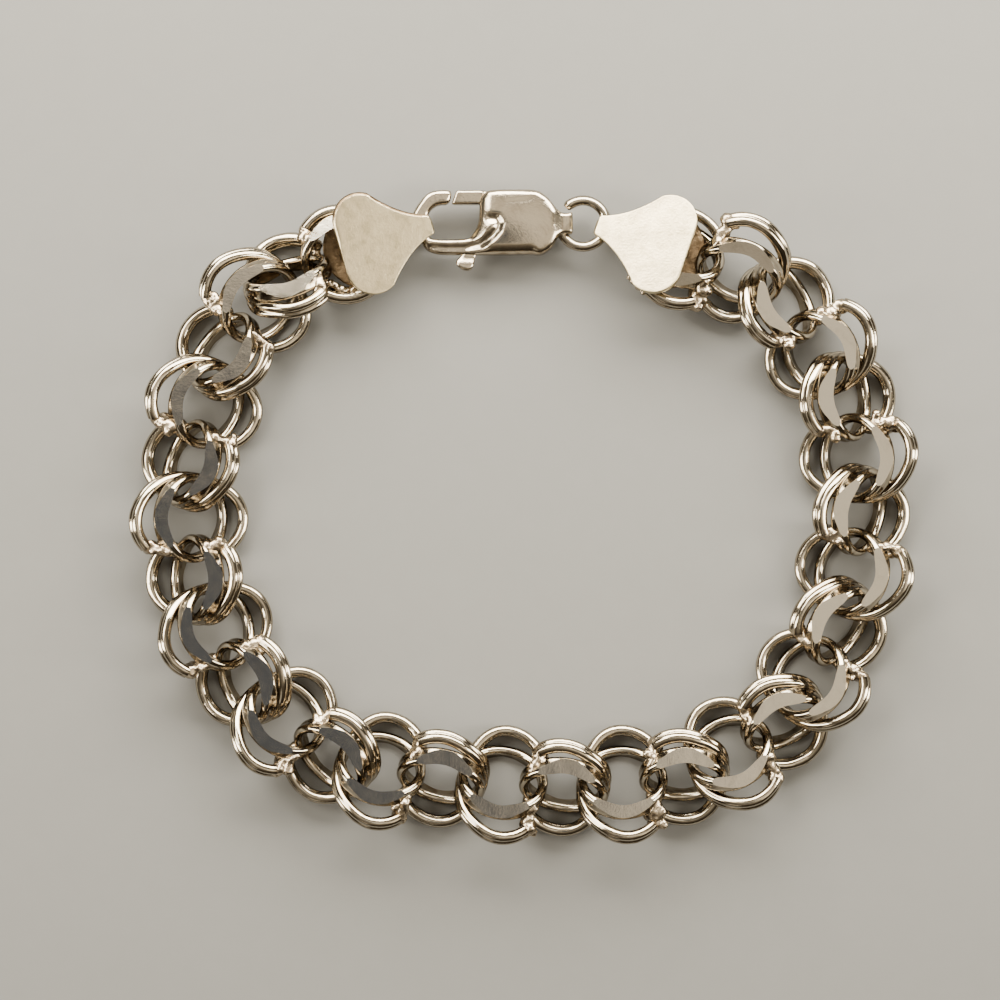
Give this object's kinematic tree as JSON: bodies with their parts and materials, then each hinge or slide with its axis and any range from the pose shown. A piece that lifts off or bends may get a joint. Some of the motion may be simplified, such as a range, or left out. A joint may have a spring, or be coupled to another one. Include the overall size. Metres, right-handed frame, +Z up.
{
  "type": "chain bracelet",
  "caption": "Silver double-link charm chain bracelet, fastened by a lobster clasp between two bell-shaped end plates, lying flat in a closed loop.",
  "frame": {"origin": "middle of the bracelet's box, on the table it lies on", "axes": "+X along the longer way across the loop, from the hooked end plate towards the jump ring's, +Y from the middle of the loop to the clasp, +Z up"},
  "size_m": [0.0748, 0.062, 0.0071],
  "materials": {
    "polished_silver": "polished sterling silver, lightly tarnished in its recesses",
    "satin_silver": "polished link wires with satin, finely scratched end plates"
  },
  "bodies": {
    "bracelet": {"end_pair_hook_side": "satin_silver", "link_pair_01": "polished_silver", "link_pair_02": "polished_silver", "link_pair_03": "polished_silver", "link_pair_04": "polished_silver", "link_pair_05": "polished_silver", "link_pair_06": "polished_silver", "link_pair_07": "polished_silver", "link_pair_08": "polished_silver", "link_pair_09": "polished_silver", "link_pair_10": "polished_silver", "link_pair_11": "polished_silver", "link_pair_12": "polished_silver", "link_pair_13": "polished_silver", "end_pair_ring_side": "satin_silver", "clasp_body": "polished_silver", "jump_ring": "polished_silver"},
    "lever": {"clasp_lever": "polished_silver"}
  },
  "joints": [
    {"name": "lever_hinge", "type": "hinge", "parent": "bracelet", "child": "lever", "pos_m": [-0.00318, 0.02801, 0.0025], "axis": [0, 0, 1], "range_deg": [0, 30], "stiffness_Nm_per_rad": 0.0008}
  ]
}
